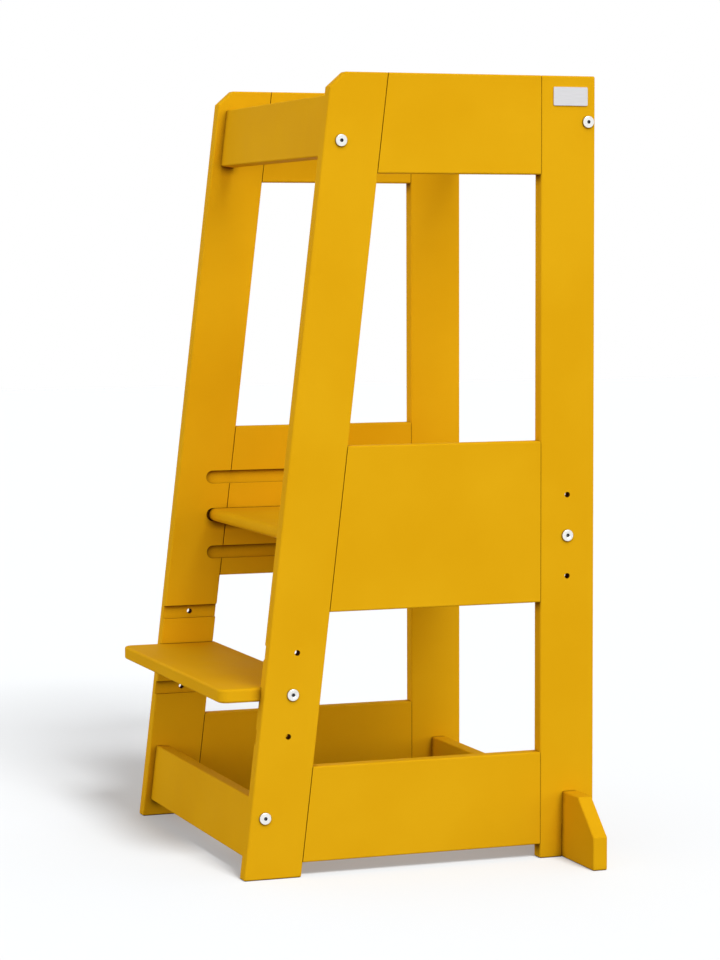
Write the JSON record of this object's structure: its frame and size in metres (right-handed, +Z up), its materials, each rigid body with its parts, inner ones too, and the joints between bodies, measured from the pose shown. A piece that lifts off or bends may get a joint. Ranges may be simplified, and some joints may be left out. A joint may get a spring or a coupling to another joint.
{
  "type": "toddler kitchen helper stool",
  "caption": "Painted wooden helper stool for a small child at a worktop: leaning front legs, grooved side frames holding a standing platform and a step, long rear foot board.",
  "frame": {"origin": "on the floor, at the middle of the stool's overall width and depth", "axes": "+Z up; +Y to the rear, towards the worktop; +X to the right-hand side for someone about to climb in from the front"},
  "size_m": [0.618, 0.4592, 0.92],
  "materials": {
    "painted_wood": "satin yellow paint",
    "steel_head": "bright nickel-plated",
    "nut_steel": "zinc-plated",
    "bare_wood": "bare beech",
    "plate": "light grey, blank"
  },
  "bodies": {
    "frame": {"front_leg_left": "painted_wood", "rear_leg_left": "painted_wood", "top_side_rail_left": "painted_wood", "middle_side_panel_left": "painted_wood", "bottom_side_rail_left": "painted_wood", "front_leg_right": "painted_wood", "rear_leg_right": "painted_wood", "top_side_rail_right": "painted_wood", "middle_side_panel_right": "painted_wood", "bottom_side_rail_right": "painted_wood", "front_top_rail": "painted_wood", "front_bottom_rail": "painted_wood", "rear_top_rail": "painted_wood", "rear_foot_board": "painted_wood", "platform": "painted_wood", "step": "painted_wood", "front_top_rail_bolts": "steel_head", "front_bottom_rail_bolts": "steel_head", "rear_top_rail_bolts": "steel_head", "front_top_rail_barrel_nuts": "nut_steel", "front_bottom_rail_barrel_nuts": "nut_steel", "rear_top_rail_barrel_nuts": "nut_steel", "platform_barrel_nuts": "nut_steel", "step_barrel_nuts": "nut_steel", "top_rail_dowels_left": "bare_wood", "middle_panel_dowels_left": "bare_wood", "bottom_rail_dowels_left": "bare_wood", "top_rail_dowels_right": "bare_wood", "middle_panel_dowels_right": "bare_wood", "bottom_rail_dowels_right": "bare_wood", "front_top_rail_dowels": "bare_wood", "front_bottom_rail_dowels": "bare_wood", "rear_top_rail_dowels": "bare_wood", "badge_plate": "plate"},
    "platform_bolt_left": {"platform_bolt_left": "steel_head"},
    "platform_bolt_right": {"platform_bolt_right": "steel_head"},
    "step_bolt_left": {"step_bolt_left": "steel_head"},
    "step_bolt_right": {"step_bolt_right": "steel_head"}
  },
  "joints": [
    {"name": "platform_bolt_left_out", "type": "slide", "parent": "frame", "child": "platform_bolt_left", "axis": [-1, 0, 0], "range_m": [0, 0.055]},
    {"name": "platform_bolt_right_out", "type": "slide", "parent": "frame", "child": "platform_bolt_right", "axis": [1, 0, 0], "range_m": [0, 0.055]},
    {"name": "step_bolt_left_out", "type": "slide", "parent": "frame", "child": "step_bolt_left", "axis": [-1, 0, 0], "range_m": [0, 0.055]},
    {"name": "step_bolt_right_out", "type": "slide", "parent": "frame", "child": "step_bolt_right", "axis": [1, 0, 0], "range_m": [0, 0.055]}
  ]
}
